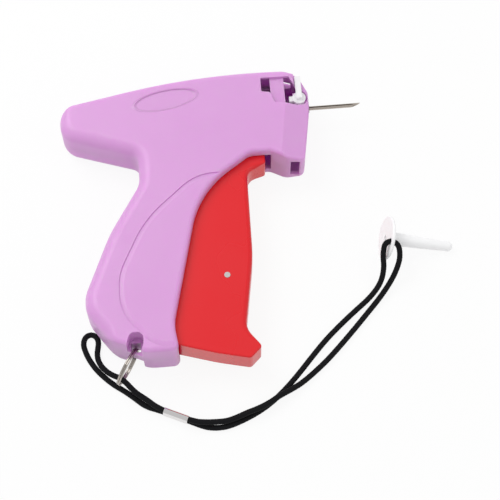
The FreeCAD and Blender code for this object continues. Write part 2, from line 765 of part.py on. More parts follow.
def trigger():
    """Hollow trigger, open to the grip, with a hub for its pivot and bosses for the link pin."""
    blank = outline_body("trigger_blank", "trigger", "-trigger_half_width", "trigger_half_width")

    def radius_at(point):
        if abs(abs(point.z) - size("trigger_half_width")) > 1e-6:
            return None
        front = point.x > -46 and -128 < point.y < -36
        return size("trigger_round") if front else 0.8

    rounded = edge_rounding("trigger_rounded", blank, radius_at)
    core = grown_block("trigger_core", "trigger", "0 - trigger_wall",
                       "2 * (trigger_half_width - trigger_wall)", True)
    open_back = grown_block("trigger_open_back", "trigger", "0 - trigger_wall",
                            "2 * (trigger_half_width - trigger_wall)", True)
    move(open_back, "-4", "1.2")
    reach = ("link_pin_x", "link_pin_y")
    bosses = [rod("trigger_link_boss_" + word, "3.4", (*reach, low),
                  "trigger_half_width - trigger_wall - link_half_width - side_gap + 0.2")
              for word, low in (("right", "link_half_width + side_gap"),
                                ("left", "trigger_wall - trigger_half_width - 0.2"))]
    hub = rod("trigger_hub", "trigger_hub_radius", ("trigger_pivot_x", "trigger_pivot_y",
              "-trigger_half_width"), "2 * trigger_half_width")
    shell = cut("trigger_shell", rounded, [core, open_back])
    solid = fuse("trigger_solid", [shell, hub] + bosses)
    bores = [rod("trigger_bore", "trigger_pin_radius + running_gap", ("trigger_pivot_x",
                 "trigger_pivot_y", "-20"), "40"),
             rod("trigger_pin_bore", "link_pin_radius + 0.02", (*reach, "-20"), "40")]
    return cut("trigger_part", solid, bores)


def pin(name, radius, x, y, half):
    return rod(name, radius, (x, y, "-(%s)" % half), "2 * (%s)" % half)


def link():
    pivot = (size("link_pin_x"), size("link_pin_y"), 3.0)
    foot = (size("lever_foot_x"), size("lever_foot_y"), 3.3)
    middle = tuple((p + q) / 2 for p, q in zip(pivot, foot))
    arm = arm_body("link_arm", [pivot, (middle[0], middle[1], 2.0), foot], "link_half_width")
    holes = [pin("link_front_bore", "link_pin_radius + running_gap", "link_pin_x", "link_pin_y", "9"),
             pin("link_rear_bore", "foot_pin_radius + link_eye_slack", "lever_foot_x", "lever_foot_y", "9")]
    return cut("link_plate", arm, holes)


def stud_place(turn):
    """Where the stud stands along the slider's line when the lever has turned by an angle."""
    lever_height = -size("lever_pivot_y")
    return size("lever_pivot_x") + lever_height * math.tan(math.radians(turn - size("lever_back_angle")))


def stud_start():
    return stud_place(0)


def stroke():
    return stud_place(size("lever_angle")) - stud_start()


def lever():
    """Bent plate: clevis foot, hub, neck round the throat and a slotted eye for the stud."""
    pivot = Vector(size("lever_pivot_x"), size("lever_pivot_y"), 0)
    eye = (stud_start(), 0.0, 4.4)
    stations = [(pivot.x, pivot.y, 4.2), (-83.4, -46.5, 3.5), (-80.0, -24.5, 3.6), eye]
    arm = arm_body("lever_arm", stations, "lever_half_width")
    foot_end = (size("lever_foot_x"), size("lever_foot_y"), 3.2)
    foot = arm_body("lever_foot", [(pivot.x, pivot.y, 4.2), foot_end], "clevis_half_width")
    hub = pin("lever_hub", "hub_radius", "lever_pivot_x", "lever_pivot_y", "hub_half_width")
    solid = fuse("lever_solid", [arm, foot, hub])
    lean = math.radians(size("lever_back_angle"))
    reach = [math.hypot(stud_place(turn) - pivot.x, pivot.y) for turn in (0, size("lever_angle"))]
    low, high = -pivot.y - 0.2, max(reach) + 0.2
    width = size("stud_radius") + size("stud_slack")
    ends = [(pivot.x - r * math.sin(lean), pivot.y + r * math.cos(lean), width) for r in (low, high)]
    slot = arm_body("lever_slot", ends, "9")
    foot_gap = pin("lever_clevis_gap", "clevis_gap_radius", "lever_foot_x", "lever_foot_y",
                   "link_half_width + side_gap")
    bores = [pin("lever_bore", "pivot_radius + running_gap", "lever_pivot_x", "lever_pivot_y", "20"),
             pin("lever_foot_bore", "foot_pin_radius + 0.02", "lever_foot_x", "lever_foot_y", "20")]
    return cut("lever_part", solid, [slot, foot_gap] + bores)


# ---------------------------------------------------------------- slider, rod and spring

def slider():
    sheet_stud = "%.4f" % stud_start()
    tail, nose = sheet_stud + " - slider_tail", sheet_stud + " + slider_nose"
    body = block("slider_block", (tail, nose), ("-slider_half_height", "slider_half_height"),
                 ("-slider_half_width", "slider_half_width"))
    tabs = block("slider_tabs", (tail + " + 1", nose + " - 1"), ("-tab_half_height", "tab_half_height"),
                 ("-tab_half_width", "tab_half_width"))
    fork = block("slider_fork", (tail + " - 1", sheet_stud + " + slider_fork"), ("-9", "9"),
                 ("-lever_half_width - side_gap", "lever_half_width + side_gap"))
    holes = [fork, pin("slider_stud_bore", "stud_radius + 0.02", sheet_stud, "0", "20"),
             rod("slider_rod_bore", "rod_radius + 0.02", (sheet_stud, "0", "0"), "slider_nose + 1", "X")]
    return cut("slider_part", fuse("slider_solid", [body, tabs]), holes)


def push_rod():
    start = "%.4f + slider_fork + 0.4" % stud_start()
    return rod("push_rod_wire", "rod_radius", (start, "0", "0"), "rod_tip_x - (%s)" % start, "X")


def spring():
    """Open coil round the push rod between the slider and the guide rib."""
    low = stud_start() + size("slider_nose") + 0.5
    high = size("guide_front_x") - size("guide_thickness") - 0.5
    radius, wire = size("spring_radius"), size("spring_wire") / 2
    length = high - low - 2 * wire
    coil = Part.makeHelix(length / size("spring_turns"), length, radius)
    rim = [Vector(radius + wire * math.cos(math.radians(a)), 0, wire * math.sin(math.radians(a)))
           for a in range(0, 360, 60)]
    section = Part.makePolygon(rim + [rim[0]])
    solid = Part.Wire(coil).makePipeShell([section], True, True)
    item = doc.addObject("Part::Feature", "spring_coil")
    solid.rotate(Vector(), Vector(0, 1, 0), 90)
    solid.translate(Vector(low + wire, 0, 0))
    item.Shape = solid
    return item


# ---------------------------------------------------------------- nose parts

def needle_base():
    """Steel-grey plug that carries the needle, flatted on one side for the knife."""
    plug = rod("base_plug", "base_radius", ("channel_front + 0.2", "0", "0"),
               "base_proud - channel_front - 0.2", "X")
    flange = rod("base_flange", "base_flange_radius", ("-5.6", "0", "0"), "1.2", "X")
    flat = block("base_flat", ("-10", "5"), ("-6", "6"), ("-6", "0 - blade_depth + 0.1"))
    bore = rod("base_bore", "needle_root_radius + 0.01", ("-12", "0", "0"), "20", "X")
    return cut("base_part", fuse("base_solid", [plug, flange]), [flat, bore])


def needle():
    """Thin tube with a thicker root, slotted along one side for the fastener's thread and ground to a
    point from below."""
    shaft = rod("needle_shaft", "needle_radius", ("needle_step_x - 1", "0", "0"),
                "needle_length - needle_step_x + 1", "X")
    root = rod("needle_root", "needle_root_radius", ("channel_front + 0.2", "0", "0"),
               "needle_step_x - channel_front - 0.2", "X")
    bore = rod("needle_hole", "needle_bore", ("-12", "0", "0"), "60", "X")
    slot = block("needle_slit", ("-12", "60"), ("-needle_slot / 2", "needle_slot / 2"), ("0", "3"))
    radius, tip, bevel = size("needle_radius"), size("needle_length"), 6.0
    corners = [Vector(tip - bevel, -radius - 0.01, -3), Vector(tip + 1, -radius - 0.01, -3),
               Vector(tip + 1, radius + 0.6, -3)]
    grind = doc.addObject("Part::Feature", "needle_grind")
    grind.Shape = Part.Face(Part.makePolygon(corners + [corners[0]])).extrude(Vector(0, 0, 6))
    return cut("needle_part", fuse("needle_tube", [shaft, root]), [bore, slot, grind])


def knife():
    """Small steel plate beside the needle with its edge facing the pushed fastener."""
    body = doc.addObject("PartDesign::Body", "knife_body")
    sketch = body_sketch(body, "knife_sketch")
    bind(sketch, AttachmentOffset__Base__z="0 - blade_depth - blade_thickness")
    points = [Vector(-9.4, -2.8, 0), Vector(-3.0, -2.8, 0), Vector(-3.0, 2.8, 0), Vector(-9.4, 2.8, 0)]
    for i in range(4):
        sketch.addGeometry(Part.LineSegment(points[i], points[(i + 1) % 4]), False)
    pad = body.newObject("PartDesign::Pad", "knife_pad")
    pad.Profile = sketch
    bind(pad, Length="blade_thickness")
    doc.recompute()
    edge = doc.addObject("Part::Chamfer", "knife_edge")
    edge.Base = body
    underside = -size("blade_depth") - size("blade_thickness")
    for index, item in enumerate(body.Shape.Edges, 1):
        at_rear = all(abs(v.Point.x + 9.4) < 1e-6 for v in item.Vertexes)
        low = all(abs(v.Point.z - underside) < 1e-6 for v in item.Vertexes)
        if at_rear and low:
            edge.Edges = [(index, size("blade_thickness") - 0.08, 1.1)]
    return edge


def toothed_disc(name, outer, root, teeth, hook, start, thickness):
    """Disc of pointed teeth across the X axis; hook 0 gives even teeth, 1 gives ratchet teeth."""
    points = []
    pitch = 2 * math.pi / teeth
    for i in range(teeth):
        base = i * pitch
        lead = pitch * (0.5 + 0.42 * hook)
        points.append(Vector(0, root * math.cos(base), root * math.sin(base)))
        points.append(Vector(0, outer * math.cos(base + lead), outer * math.sin(base + lead)))
    wire = Part.makePolygon(points + [points[0]])
    item = doc.addObject("Part::Feature", name)
    solid = Part.Face(wire).extrude(Vector(thickness, 0, 0))
    solid.translate(Vector(start, size("wheel_y"), -size("wheel_z")))
    item.Shape = solid
    return item


def feed_wheel():
    """Feed wheel, shaft and ratchet moulded in one; its teeth step the rail of fasteners down."""
    wheel = toothed_disc("wheel_teeth", size("wheel_radius"), size("wheel_radius") - 1.2, 10, 0.0,
                         size("channel_rear") + 0.6, 3.2)
    ratchet = toothed_disc("wheel_ratchet", 3.9, 2.9, 10, 1.0, -18.6, 2.2)
    shaft = rod("wheel_axle", "wheel_shaft", ("-21.4", "wheel_y", "-wheel_z"), "15.8", "X")
    return fuse("wheel_part", [wheel, ratchet, shaft])


def feed_pawl():
    """Leaf of spring steel that lets the ratchet step one way only."""
    item = doc.addObject("Part::Feature", "pawl_leaf")
    width = 1.8
    line = [Vector(0, 9.2, -8.2), Vector(0, 6.1, -8.2), Vector(0, -2.7, -4.8), Vector(0, -2.8, -5.08),
            Vector(0, 6.0, -8.5), Vector(0, 9.2, -8.5)]
    face = Part.Face(Part.makePolygon(line + [line[0]]))
    solid = face.extrude(Vector(width, 0, 0))
    solid.translate(Vector(-18.4, 0, 0))
    item.Shape = solid
    return item


def needle_lock():
    """White cam lever: hub in its well, stub in the seat, thumb stem raised over the hub."""
    hub = rod("lock_hub", "lock_radius", ("lock_x", "lock_y", "lock_floor"), "2.6")
    stub = rod("lock_stub", "1.5", ("lock_x", "lock_y", "lock_floor - 3.4"), "4")
    stem = block("lock_stem_bar", ("lock_x - lock_stem / 2", "lock_x + lock_stem / 2"),
                 ("lock_y - 1", "lock_y + lock_reach"), ("lock_floor + 2.4", "lock_floor + 4.6"))
    ear = block("lock_ear_bar", ("lock_x - lock_ear", "lock_x"), ("lock_y - 1.8", "lock_y + 1.2"),
                ("lock_floor", "lock_floor + 2.2"))
    return fuse("lock_part", [hub, stub, stem, ear])


# ---------------------------------------------------------------- screws and strap

def screws():
    """Five self-tapping screws driven from the left side."""
    made = []
    for name in BOSSES:
        x, y = "boss_%s_x" % name, "boss_%s_y" % name
        shank = rod("screw_shank_" + name, "screw_radius", (x, y, "-half_width + 2.2"), "screw_length")
        head = rod("screw_head_" + name, "head_radius", (x, y, "-half_width + 1.8"), "1.8")
        cross = []
        for i, (a, b) in enumerate((("1.6", "0.35"), ("0.35", "1.6"))):
            cross.append(block("screw_slot_%s_%d" % (name, i), ("%s - %s" % (x, a), "%s + %s" % (x, a)),
                               ("%s - %s" % (y, b), "%s + %s" % (y, b)), ("-half_width", "-half_width + 2.8")))
        made.append(cut("screw_" + name, fuse("screw_solid_" + name, [shank, head]), cross))
    group = doc.addObject("Part::Compound", "screw_group")
    group.Links = made
    return group


def ring():
    """Steel ring through the hole in the grip's foot, leaning a little, its lower edge on the table."""
    loop = doc.addObject("Part::Torus", "ring_wire_loop")
    bind(loop, Radius1="ring_radius", Radius2="ring_wire")
    heading, lean = math.radians(size("ring_heading")), math.radians(size("ring_lean"))
    level = size("ring_radius") * math.cos(lean) + size("ring_wire") - size("half_width") + 0.02
    along = Vector(math.cos(heading), math.sin(heading), 0)
    across = Vector(-math.sin(heading), math.cos(heading), 0)
    rise = Vector(0, 0, 1) * math.cos(lean) + across * math.sin(lean)
    centre = Vector(STRAP_HOLE[0], STRAP_HOLE[1], 0) + along * size("ring_seat")
    centre += across * (level * math.tan(lean))
    turn = Rotation(along, rise, Vector(), "XYZ")
    loop.Placement = Placement(Vector(centre.x, centre.y, level), turn)
    return loop


def route_wire(points):
    """Straight runs joined by tangent arcs as large as their runs allow."""
    places = [Vector(x, y, z - size("half_width")) for x, y, z in points]
    edges = []
    radii = []
    start = places[0]
    for i in range(1, len(places) - 1):
        before, after = places[i - 1] - places[i], places[i + 1] - places[i]
        turn = math.pi - before.getAngle(after)
        reach = 0.45 * min(before.Length, after.Length)
        radius = reach / math.tan(turn / 2)
        radii.append(radius)
        into, out = places[i] + before.normalize() * reach, places[i] + after.normalize() * reach
        inward = (before + after).normalize()
        middle = places[i] + inward * (radius / math.cos(turn / 2) - radius)
        edges.append(Part.LineSegment(start, into).toShape())
        edges.append(Part.Arc(into, middle, out).toShape())
        start = out
    edges.append(Part.LineSegment(start, places[-1]).toShape())
    return Part.Wire(edges), radii


def cord(name, points):
    """Eight-sided tube along the route: the rim of its section is pushed along the straight runs and
    turned round the bends, and the strips that it leaves are sewn to one skin."""
    path, radii = route_wire(points)
    first = path.Edges[0]
    along = first.tangentAt(first.FirstParameter)
    side = along.cross(Vector(0, 0, 1)).normalize()
    rise = side.cross(along)
    corners = []
    for i in range(CORD_SIDES):
        angle = (i + 0.5) * 2 * math.pi / CORD_SIDES
        spoke = side * math.cos(angle) + rise * math.sin(angle)
        corners.append(first.valueAt(first.FirstParameter) + spoke * size("cord_radius"))
    rim = [Part.makeLine(corners[i - 1], corners[i]) for i in range(CORD_SIDES)]
    skin = [Part.Face(Part.Wire(rim))]
    for edge in path.Edges:
        start, finish = edge.FirstParameter, edge.LastParameter
        if isinstance(edge.Curve, Part.Circle):
            axis = edge.tangentAt(start).cross(edge.tangentAt(finish)).normalize()
            turn = math.degrees(edge.Length / edge.Curve.Radius)
            skin += [side.revolve(edge.Curve.Center, axis, turn) for side in rim]
            rim = [side.rotated(edge.Curve.Center, axis, turn) for side in rim]
        else:
            step = edge.valueAt(finish) - edge.valueAt(start)
            skin += [side.extrude(step) for side in rim]
            rim = [side.translated(step) for side in rim]
    skin.append(Part.Face(Part.Wire(rim)))
    shell = Part.makeShell(skin)
    shell.sewShape()
    solid = Part.makeSolid(shell)
    if solid.Volume < 0:
        solid.reverse()
    item = doc.addObject("Part::Feature", name + "_tube")
    item.Shape = solid
    section = 0.5 * CORD_SIDES * math.sin(2 * math.pi / CORD_SIDES) * size("cord_radius") ** 2
    print("%s: length %.1f, volume %.1f of %.1f, radii %s" % (
        name, path.Length, solid.Volume, section * path.Length, " ".join("%.1f" % r for r in radii)))
    return item


def ferrule():
    """Oval crimped tube that holds both ends of each loop one above the other."""
    ends = (Vector(-85.0, -155.3, 0), Vector(-73.8, -160.6, 0))
    centre = (ends[0] + ends[1]) * 0.5
    along = (ends[1] - ends[0]).normalize()
    wall = size("ferrule_wall")
    half = size("cord_radius") + 0.05
    lift = 2 * half + wall - size("half_width")

    def oval(radius, length, name):
        body = doc.addObject("PartDesign::Body", name)
        sketch = body_sketch(body, name + "_sketch", "YZ_Plane")
        capsule_sketch(sketch, (0, -half), (0, half), radius, radius)
        pad = body.newObject("PartDesign::Pad", name + "_pad")
        pad.Profile = sketch
        pad.Length = length
        pad.Midplane = True
        return body

    outer = oval(half + wall, size("ferrule_length"), "ferrule_outer")
    inner = oval(half, size("ferrule_length") + 4, "ferrule_inner")
    tube = cut("ferrule_tube", outer, [inner])
    angle = math.degrees(math.atan2(along.y, along.x))
    tube.Placement = Placement(Vector(centre.x, centre.y, lift), Rotation(Vector(0, 0, 1), angle))
    return tube


def guard():
    """Needle guard: finger disc with a hole for the strap, and a tapering sleeve, lying on the table."""
    disc_r, disc_t = size("guard_flange_radius"), size("guard_flange_thickness")
    length, tip_r = size("guard_length"), size("guard_tip_radius")
    reach = length - disc_t / 2
    tilt = math.acos(tip_r / math.hypot(disc_r, reach)) - math.atan2(reach, disc_r)
    body = doc.addObject("PartDesign::Body", "guard_body")
    sketch = body_sketch(body, "guard_sketch", "XZ_Plane")
    half, root = disc_t / 2, size("guard_root_radius")
    corners = [Vector(-half, 0, 0), Vector(-half, disc_r - 0.7, 0), Vector(half, disc_r - 0.7, 0),
               Vector(half, root + 0.6, 0), Vector(half + 1.2, root, 0), Vector(length, tip_r, 0),
               Vector(length + tip_r, 0, 0)]
    shoulder = Vector(length + tip_r * math.sqrt(0.5), tip_r * math.sqrt(0.5), 0)
    edges = [Part.LineSegment(corners[0], corners[1]),
             Part.Arc(corners[1], Vector(0, disc_r, 0), corners[2]),
             Part.LineSegment(corners[2], corners[3]), Part.LineSegment(corners[3], corners[4]),
             Part.LineSegment(corners[4], corners[5]), Part.Arc(corners[5], shoulder, corners[6]),
             Part.LineSegment(corners[6], corners[0])]
    sketch.addGeometry(edges, False)
    turned = body.newObject("PartDesign::Revolution", "guard_turned")
    turned.Profile = sketch
    turned.ReferenceAxis = (sketch, ["H_Axis"])
    turned.Angle = 360
    eye = rod("guard_eye", "eye_radius", ("-3", "eye_y", "eye_z"), "6", "X")
    bore = rod("guard_hole", "guard_bore", ("-5", "0", "0"), "5 + needle_length + 1.2", "X")
    shape = cut("guard_shape", body, [eye, bore])
    height = disc_r * math.cos(tilt) + half * math.sin(tilt) - size("half_width") + 0.05
    turn = Rotation(Vector(0, 0, 1), size("guard_heading"))
    turn = turn.multiply(Rotation(Vector(0, 1, 0), math.degrees(tilt)))
    shape.Placement = Placement(Vector(GUARD_PLACE[0], GUARD_PLACE[1], height), turn)
    return shape


# ---------------------------------------------------------------- the gun

part("right_shell", half_shell("right"))
part("left_shell", half_shell("left"))
part("shell_screws", screws())
part("trigger", trigger())
part("trigger_pivot_pin", pin("pivot_pin", "trigger_pin_radius", "trigger_pivot_x", "trigger_pivot_y",
                              "half_width - 2.2"))
part("trigger_link_pin", pin("link_pin", "link_pin_radius", "link_pin_x", "link_pin_y",
                             "trigger_half_width + 0.2"))
part("drive_link", link())
part("drive_lever", lever())
part("lever_pivot_pin", pin("lever_pin", "pivot_radius", "lever_pivot_x", "lever_pivot_y",
                            "half_width - 2.2"))
part("lever_foot_pin", pin("foot_pin", "foot_pin_radius", "lever_foot_x", "lever_foot_y",
                           "clevis_half_width"))
part("slider", slider())
part("slider_pin", pin("stud", "stud_radius", "%.4f" % stud_start(), "0", "slider_half_width - 0.1"))
part("push_rod", push_rod())
part("return_spring", spring())
part("needle_base", needle_base())
part("needle", needle())
part("cutter_blade", knife())
part("feed_wheel", feed_wheel())
part("feed_pawl", feed_pawl())
part("needle_lock_lever", needle_lock())
part("strap_ring", ring())
part("strap_ferrule", ferrule())
part("strap_short_loop", cord("strap_short_loop", SHORT_LOOP))
part("strap_long_loop", cord("strap_long_loop", LONG_LOOP))
part("needle_guard", guard())

doc.recompute()
failed = [item.Name for item in doc.Objects if "Invalid" in item.State or "Error" in item.State]
if failed:
    raise SystemExit("failed objects: " + ", ".join(failed))
for name, item in PARTS.items():
    if item.Shape.isNull() or not item.Shape.isValid():
        raise SystemExit("bad shape: " + name)
os.makedirs("parts", exist_ok=True)
for name, item in PARTS.items():
    item.Shape.exportStep("parts/" + name + ".step")
    print("%s: %d solid(s), %.1f mm3" % (name, len(item.Shape.Solids), item.Shape.Volume))
print("stroke %.2f mm, stud at %.2f, shift %.3f %.3f" % (stroke(), stud_start(), size("frame_shift_x"),
                                                        size("frame_shift_y")))
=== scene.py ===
import math

import bpy
import numpy as np
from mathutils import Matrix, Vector


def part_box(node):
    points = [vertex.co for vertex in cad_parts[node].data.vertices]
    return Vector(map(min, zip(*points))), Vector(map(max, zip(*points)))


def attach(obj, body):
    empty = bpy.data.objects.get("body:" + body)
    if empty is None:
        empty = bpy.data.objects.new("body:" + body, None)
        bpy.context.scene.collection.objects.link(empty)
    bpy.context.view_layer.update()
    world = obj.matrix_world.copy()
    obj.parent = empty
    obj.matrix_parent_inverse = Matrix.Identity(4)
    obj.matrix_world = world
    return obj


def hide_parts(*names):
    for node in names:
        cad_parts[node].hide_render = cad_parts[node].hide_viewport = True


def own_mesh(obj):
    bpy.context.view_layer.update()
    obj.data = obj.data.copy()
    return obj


# Garment tag attacher lying on its left side. Metres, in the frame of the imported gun: +X the way
# the needle points, +Y the gun's top, +Z up out of its right side.
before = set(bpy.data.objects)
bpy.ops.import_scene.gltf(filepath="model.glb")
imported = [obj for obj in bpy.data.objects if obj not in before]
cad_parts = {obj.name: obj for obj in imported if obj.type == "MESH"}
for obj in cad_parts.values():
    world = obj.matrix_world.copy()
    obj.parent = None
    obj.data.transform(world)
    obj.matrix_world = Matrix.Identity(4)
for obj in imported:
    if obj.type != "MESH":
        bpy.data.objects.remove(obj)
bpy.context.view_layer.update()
MM = 0.001
NEEDLE_AXIS_Y = 60.104 * MM
NOSE_X = 50.150 * MM


def gun_point(x, y, height):
    """A point in millimetres from the nose along and across the needle, and above the table."""
    return (NOSE_X + x * MM, NEEDLE_AXIS_Y + y * MM, height * MM)


# ---------------------------------------------------------- half shells
# Two injection-moulded ABS halves, satin lavender, screwed together from the left. The mould was
# lightly spark-eroded, so the skin has a very fine grain and a soft wide highlight.

def srgb(red, green, blue):
    """Colour as it is seen, 0 to 255, turned to the linear values that shaders take."""
    parts = [c / 255 for c in (red, green, blue)]
    linear = [c / 12.92 if c <= 0.04045 else ((c + 0.055) / 1.055) ** 2.4 for c in parts]
    return tuple(linear) + (1.0,)


def new_material(name):
    material = bpy.data.materials.new(name)
    material.use_nodes = True
    nodes = material.node_tree.nodes
    shader = next(n for n in nodes if n.type == "BSDF_PRINCIPLED")
    return material, material.node_tree, shader


def node(tree, kind, **settings):
    """Adds a node; settings that are sockets are set by their names with spaces as underscores."""
    made = tree.nodes.new(kind)
    for key, value in settings.items():
        label = key.replace("_", " ")
        if hasattr(made, key):
            setattr(made, key, value)
        else:
            made.inputs[label].default_value = value
    return made


def object_coordinates(tree):
    return node(tree, "ShaderNodeTexCoord").outputs["Object"]


def moulded_plastic(name, colour, shade, roughness, spread, grain_scale, grain_depth,
                    cloud_scale=35.0):
    """Moulded plastic: colour drifts between two tones, roughness wanders, fine grain bump."""
    material, tree, shader = new_material(name)
    coords = object_coordinates(tree)
    link = tree.links.new
    cloud = node(tree, "ShaderNodeTexNoise", Scale=cloud_scale, Detail=3.0, Roughness=0.5)
    link(coords, cloud.inputs["Vector"])
    tone = node(tree, "ShaderNodeMix", data_type="RGBA")
    tone.inputs[6].default_value = colour
    tone.inputs[7].default_value = shade
    link(cloud.outputs["Fac"], tone.inputs[0])
    link(tone.outputs[2], shader.inputs["Base Color"])
    fine = node(tree, "ShaderNodeTexNoise", Scale=grain_scale, Detail=2.0, Roughness=0.6)
    link(coords, fine.inputs["Vector"])
    gloss = node(tree, "ShaderNodeMapRange")
    gloss.inputs["From Min"].default_value = 0.3
    gloss.inputs["From Max"].default_value = 0.7
    gloss.inputs["To Min"].default_value = roughness - spread
    gloss.inputs["To Max"].default_value = roughness + spread
    link(cloud.outputs["Fac"], gloss.inputs["Value"])
    link(gloss.outputs["Result"], shader.inputs["Roughness"])
    bump = node(tree, "ShaderNodeBump", Strength=0.25, Distance=grain_depth)
    link(fine.outputs["Fac"], bump.inputs["Height"])
    link(bump.outputs["Normal"], shader.inputs["Normal"])
    shader.inputs["IOR"].default_value = 1.5
    return material, shader


def dress(names, material):
    """Gives CAD nodes a material without touching their shapes."""
    for name in names:
        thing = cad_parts[name]
        thing.data.materials.clear()
        thing.data.materials.append(material)


lavender, lavender_shader = moulded_plastic(
    "lavender_satin", srgb(221, 164, 221), srgb(218, 159, 218), 0.42, 0.05, 2600.0, 0.00003)
lavender_shader.inputs["Subsurface Weight"].default_value = 0.5
lavender_shader.inputs["Subsurface Radius"].default_value = (1.0, 0.45, 1.0)
lavender_shader.inputs["Subsurface Scale"].default_value = 0.005


def add_oval_rim(material, shader, centre, half_length, half_height, tilt):
    """Soft raised rim round the oval recess: height falls from 1 on the outline, where the point
    scaled to a unit circle is at distance 1, to 0 at a tenth of the radius on either side."""
    rim_share, flat_depth = 0.1, 1000.0
    tree = material.node_tree
    link = tree.links.new
    frame_of_oval = node(tree, "ShaderNodeMapping", vector_type="TEXTURE")
    frame_of_oval.inputs["Location"].default_value = centre
    frame_of_oval.inputs["Rotation"].default_value = (0.0, 0.0, tilt)
    frame_of_oval.inputs["Scale"].default_value = (half_length, half_height, flat_depth)
    link(object_coordinates(tree), frame_of_oval.inputs["Vector"])
    out = node(tree, "ShaderNodeVectorMath", operation="LENGTH")
    link(frame_of_oval.outputs["Vector"], out.inputs[0])
    away = node(tree, "ShaderNodeMath", operation="SUBTRACT")
    away.inputs[1].default_value = 1.0
    link(out.outputs["Value"], away.inputs[0])
    either_side = node(tree, "ShaderNodeMath", operation="ABSOLUTE")
    link(away.outputs["Value"], either_side.inputs[0])
    rim = node(tree, "ShaderNodeMapRange", interpolation_type="SMOOTHSTEP")
    rim.inputs["From Max"].default_value = rim_share
    rim.inputs["To Min"].default_value = 1.0
    rim.inputs["To Max"].default_value = 0.0
    link(either_side.outputs["Value"], rim.inputs["Value"])
    lip = node(tree, "ShaderNodeBump", Strength=1.0, Distance=0.0005)
    grain = shader.inputs["Normal"].links[0].from_socket
    link(grain, lip.inputs["Normal"])
    link(rim.outputs["Result"], lip.inputs["Height"])
    link(lip.outputs["Normal"], shader.inputs["Normal"])


OVAL_CENTRE = gun_point(-73.6, 4.0, 26.0)
OVAL_HALF_LENGTH = 16.3 * MM
OVAL_HALF_HEIGHT = 5.5 * MM
OVAL_TILT = math.radians(9.4)
add_oval_rim(lavender, lavender_shader, OVAL_CENTRE, OVAL_HALF_LENGTH, OVAL_HALF_HEIGHT, OVAL_TILT)
dress(["right_shell", "left_shell"], lavender)

# ---------------------------------------------------------- trigger
# Glossy red moulding, hollow from behind, polished where fingers slide on it. Faint flow waves
# from the mould show only in its reflections.
red_gloss, red_shader = moulded_plastic("trigger_red", srgb(229, 14, 28), srgb(221, 10, 24),
                                        0.27, 0.05, 1400.0, 0.00002, 20.0)
dress(["trigger"], red_gloss)


# ---------------------------------------------------------- steel pins, screws and mechanism
# Turned pins and self-tapping screws are bright zinc plate; the link and lever are pressed sheet.

def brushed_metal(name, colour, roughness, along=(1.0, 1.0, 1.0), depth=0.00001):
    """Metal with fine scratches that can be stretched along one axis; they vary its roughness and
    bump.
    """
    material, tree, shader = new_material(name)
    link = tree.links.new
    coords = object_coordinates(tree)
    stretch = node(tree, "ShaderNodeMapping")
    stretch.inputs["Scale"].default_value = along
    link(coords, stretch.inputs["Vector"])
    scratches = node(tree, "ShaderNodeTexNoise", Scale=1800.0, Detail=3.0)
    link(stretch.outputs["Vector"], scratches.inputs["Vector"])
    gloss = node(tree, "ShaderNodeMapRange")
    gloss.inputs["To Min"].default_value = roughness * 0.7
    gloss.inputs["To Max"].default_value = roughness * 1.4
    link(scratches.outputs["Fac"], gloss.inputs["Value"])
    link(gloss.outputs["Result"], shader.inputs["Roughness"])
    bump = node(tree, "ShaderNodeBump", Strength=0.3, Distance=depth)
    link(scratches.outputs["Fac"], bump.inputs["Height"])
    link(bump.outputs["Normal"], shader.inputs["Normal"])
    shader.inputs["Base Color"].default_value = colour
    shader.inputs["Metallic"].default_value = 1.0
    return material


bright_steel = brushed_metal("bright_steel", srgb(214, 213, 211), 0.22)
dress(["shell_screws", "trigger_pivot_pin", "trigger_link_pin", "lever_pivot_pin",
       "lever_foot_pin", "slider_pin", "push_rod", "cutter_blade"], bright_steel)
pressed_steel = brushed_metal("pressed_steel", srgb(186, 186, 188), 0.35)
dress(["drive_link", "drive_lever"], pressed_steel)
spring_steel = brushed_metal("spring_steel", srgb(160, 160, 164), 0.25)
dress(["feed_pawl"], spring_steel)

acetal, _ = moulded_plastic("natural_acetal", srgb(236, 235, 229), srgb(228, 227, 220),
                            0.35, 0.05, 1500.0, 0.00001)
dress(["slider", "feed_wheel"], acetal)

# ---------------------------------------------------------- needle
# Hardened steel tube, slotted for the thread of the fastener, in a dark moulded foot. Its surface
# is ground along its length and browned.
needle_steel = brushed_metal("needle_steel", srgb(184, 175, 166), 0.4, (0.04, 1.0, 1.0))
dress(["needle"], needle_steel)
dark_foot, _ = moulded_plastic("needle_foot", srgb(74, 62, 66), srgb(62, 52, 56),
                               0.45, 0.05, 1500.0, 0.00001)
dress(["needle_base"], dark_foot)

# ---------------------------------------------------------- needle lock
# White nylon cam lever with a thumb stem raised over its hub; slightly waxy.
white_nylon, white_shader = moulded_plastic("white_nylon", srgb(244, 244, 245), srgb(238, 238, 240),
                                            0.5, 0.05, 1500.0, 0.00001)
white_shader.inputs["Subsurface Weight"].default_value = 0.8
white_shader.inputs["Subsurface Radius"].default_value = (1.0, 1.0, 1.0)
white_shader.inputs["Subsurface Scale"].default_value = 0.003
dress(["needle_lock_lever"], white_nylon)
